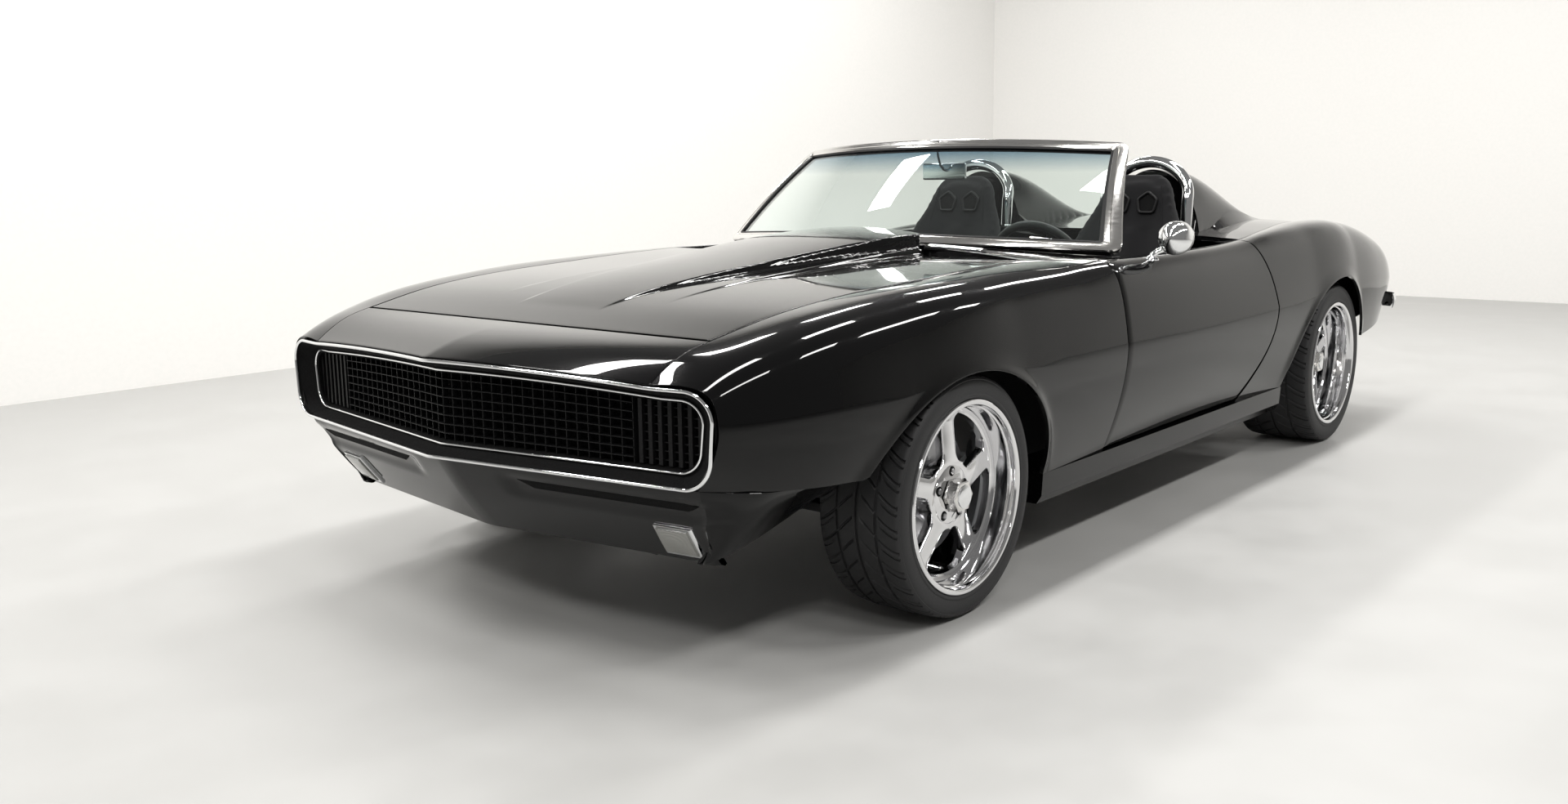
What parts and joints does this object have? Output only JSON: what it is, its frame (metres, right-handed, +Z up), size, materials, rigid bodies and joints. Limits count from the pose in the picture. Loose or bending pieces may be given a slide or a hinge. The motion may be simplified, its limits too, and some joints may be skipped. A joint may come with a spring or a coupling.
{
  "type": "muscle car",
  "caption": "Open muscle car with a cowl-induction hood, head fairings, roll hoops and alloy wheels, with opening doors, lids and steering.",
  "frame": {"origin": "on the ground, at the middle of the car's length and width", "axes": "+X forward, +Y to the car's left, +Z up"},
  "size_m": [4.6935, 1.8785, 1.2175],
  "materials": {
    "paint": "gloss",
    "underbody": "satin",
    "grille_black": "satin",
    "chrome": "mirror",
    "clear_lens": "gloss",
    "windshield": "gloss",
    "red_lens": "gloss",
    "engine_metal": "satin",
    "suede": "matt",
    "pipe_steel": "satin",
    "polished_alloy": "polished",
    "tyre_rubber": "matt"
  },
  "bodies": {
    "body": {"floor_pan": "underbody", "rear_floor": "underbody", "sills": "paint", "firewall": "underbody", "cowl": "paint", "front_subframe": "underbody", "wheel_houses": "underbody", "wing_left": "paint", "wing_right": "paint", "nose_panel": "paint", "grille": "grille_black", "grille_trim": "chrome", "front_valance": "paint", "park_lamps": "clear_lens", "engine": "engine_metal", "windshield_frame": "chrome", "windshield_glass": "windshield", "interior_mirror": "chrome", "dashboard": "grille_black", "steering_column": "grille_black", "seat_left": "suede", "seat_right": "suede", "console": "suede", "tonneau": "paint", "roll_hoops": "chrome", "quarter_left": "paint", "quarter_right": "paint", "tail_panel": "paint", "tail_lamps": "red_lens", "rear_bumper": "chrome", "rear_axle": "underbody", "exhaust": "pipe_steel", "fuel_tank": "underbody", "drive_shaft": "underbody"},
    "bonnet": {"bonnet": "paint"},
    "boot_lid": {"boot_lid": "paint"},
    "door_left": {"door_left": "paint", "door_mirror": "chrome"},
    "door_right": {"door_right": "paint"},
    "steering_wheel": {"steering_wheel": "grille_black"},
    "knuckle_left": {"knuckle_left": "engine_metal"},
    "knuckle_right": {"knuckle_right": "engine_metal"},
    "wheel_front_left": {"wheel_front_left": "polished_alloy", "tyre_front_left": "tyre_rubber"},
    "wheel_front_right": {"wheel_front_right": "polished_alloy", "tyre_front_right": "tyre_rubber"},
    "wheel_rear_left": {"wheel_rear_left": "polished_alloy", "tyre_rear_left": "tyre_rubber"},
    "wheel_rear_right": {"wheel_rear_right": "polished_alloy", "tyre_rear_right": "tyre_rubber"}
  },
  "joints": [
    {"name": "left_steer", "type": "hinge", "parent": "body", "child": "knuckle_left", "pos_m": [1.39, 0.73, 0.31], "axis": [0, 0, 1], "range_deg": [-30, 30]},
    {"name": "right_steer", "type": "hinge", "parent": "body", "child": "knuckle_right", "pos_m": [1.39, -0.73, 0.31], "axis": [0, 0, 1], "range_deg": [-30, 30]},
    {"name": "steering_turn", "type": "hinge", "parent": "body", "child": "steering_wheel", "pos_m": [0.118, 0.37, 0.77], "axis": [-0.9135, 0, 0.4067], "range_deg": [-510, 510]},
    {"name": "front_left_spin", "type": "hinge", "parent": "knuckle_left", "child": "wheel_front_left", "pos_m": [1.39, 0.8, 0.31], "axis": [0, 1, 0], "continuous": true},
    {"name": "front_right_spin", "type": "hinge", "parent": "knuckle_right", "child": "wheel_front_right", "pos_m": [1.39, -0.8, 0.31], "axis": [0, 1, 0], "continuous": true},
    {"name": "rear_left_spin", "type": "hinge", "parent": "body", "child": "wheel_rear_left", "pos_m": [-1.356, 0.8, 0.32], "axis": [0, 1, 0], "continuous": true},
    {"name": "rear_right_spin", "type": "hinge", "parent": "body", "child": "wheel_rear_right", "pos_m": [-1.356, -0.8, 0.32], "axis": [0, 1, 0], "continuous": true},
    {"name": "left_door_hinge", "type": "hinge", "parent": "body", "child": "door_left", "pos_m": [0.546, 0.907, 0.6], "axis": [0, 0, -1], "range_deg": [0, 65]},
    {"name": "right_door_hinge", "type": "hinge", "parent": "body", "child": "door_right", "pos_m": [0.546, -0.907, 0.6], "axis": [0, 0, 1], "range_deg": [0, 65]},
    {"name": "bonnet_hinge", "type": "hinge", "parent": "body", "child": "bonnet", "pos_m": [0.658, 0, 0.908], "axis": [0, -1, 0], "range_deg": [0, 50]},
    {"name": "boot_hinge", "type": "hinge", "parent": "body", "child": "boot_lid", "pos_m": [-1.644, 0, 0.893], "axis": [0, 1, 0], "range_deg": [0, 60]}
  ],
  "couplings": [
    {"joint": "right_steer", "follows": "left_steer", "ratio": 1},
    {"joint": "steering_turn", "follows": "left_steer", "ratio": 17}
  ]
}
